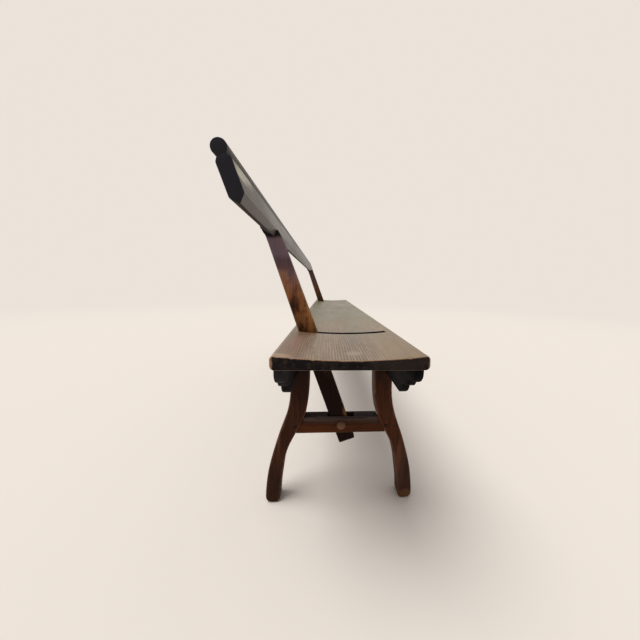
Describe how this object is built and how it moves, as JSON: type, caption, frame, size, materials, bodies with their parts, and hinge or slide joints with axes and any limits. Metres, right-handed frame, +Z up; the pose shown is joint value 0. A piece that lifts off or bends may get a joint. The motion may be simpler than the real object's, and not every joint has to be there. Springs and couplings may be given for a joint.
{
  "type": "reversible bench",
  "caption": "Long narrow plank bench on splayed curved legs, with a flip-over back whose flat arms pass through slots in the seat and turn on pegs.",
  "frame": {"origin": "middle of the bench on the floor, on the plane of the arms' pivots", "axes": "+X along the bench, the sitter faces -Y at rest, +Z up"},
  "size_m": [1.83, 0.416, 0.8011],
  "materials": {
    "seat_wood": "worn waxed plank, satin",
    "rail_wood": "dark stained, satin",
    "leg_wood": "dark red-brown, satin",
    "stretcher_wood": "red-brown, satin",
    "arm_wood": "brown, satin",
    "back_wood": "grey-brown, hand-polished",
    "peg_wood": "turned, waxed",
    "screw_iron": "darkened iron"
  },
  "bodies": {
    "bench_frame": {"batten_screw_left_1": "screw_iron", "batten_screw_left_2": "screw_iron", "batten_screw_left_3": "screw_iron", "batten_screw_left_4": "screw_iron", "batten_screw_left_5": "screw_iron", "batten_screw_right_1": "screw_iron", "batten_screw_right_2": "screw_iron", "batten_screw_right_3": "screw_iron", "batten_screw_right_4": "screw_iron", "batten_screw_right_5": "screw_iron", "leg_left_front": "leg_wood", "leg_left_rear": "leg_wood", "leg_right_front": "leg_wood", "leg_right_rear": "leg_wood", "pivot_peg_left": "peg_wood", "pivot_peg_right": "peg_wood", "rail_screw_front_1": "screw_iron", "rail_screw_front_2": "screw_iron", "rail_screw_front_3": "screw_iron", "rail_screw_front_4": "screw_iron", "rail_screw_rear_1": "screw_iron", "rail_screw_rear_2": "screw_iron", "rail_screw_rear_3": "screw_iron", "rail_screw_rear_4": "screw_iron", "seat_batten_left": "rail_wood", "seat_batten_right": "rail_wood", "seat_board": "seat_wood", "seat_rail_front": "rail_wood", "seat_rail_rear": "rail_wood", "stretcher_left": "stretcher_wood", "stretcher_pin_left_front": "peg_wood", "stretcher_pin_left_rear": "peg_wood", "stretcher_pin_right_front": "peg_wood", "stretcher_pin_right_rear": "peg_wood", "stretcher_right": "stretcher_wood"},
    "reversing_back": {"back_arm_left": "arm_wood", "back_arm_right": "arm_wood", "back_board": "back_wood", "back_screw_left_1": "screw_iron", "back_screw_left_2": "screw_iron", "back_screw_right_1": "screw_iron", "back_screw_right_2": "screw_iron", "back_top_rail": "back_wood"}
  },
  "joints": [
    {"name": "back_flip", "type": "hinge", "parent": "bench_frame", "child": "reversing_back", "pos_m": [0, 0, 0.224], "axis": [1, 0, 0], "range_deg": [0, 38.81]}
  ]
}
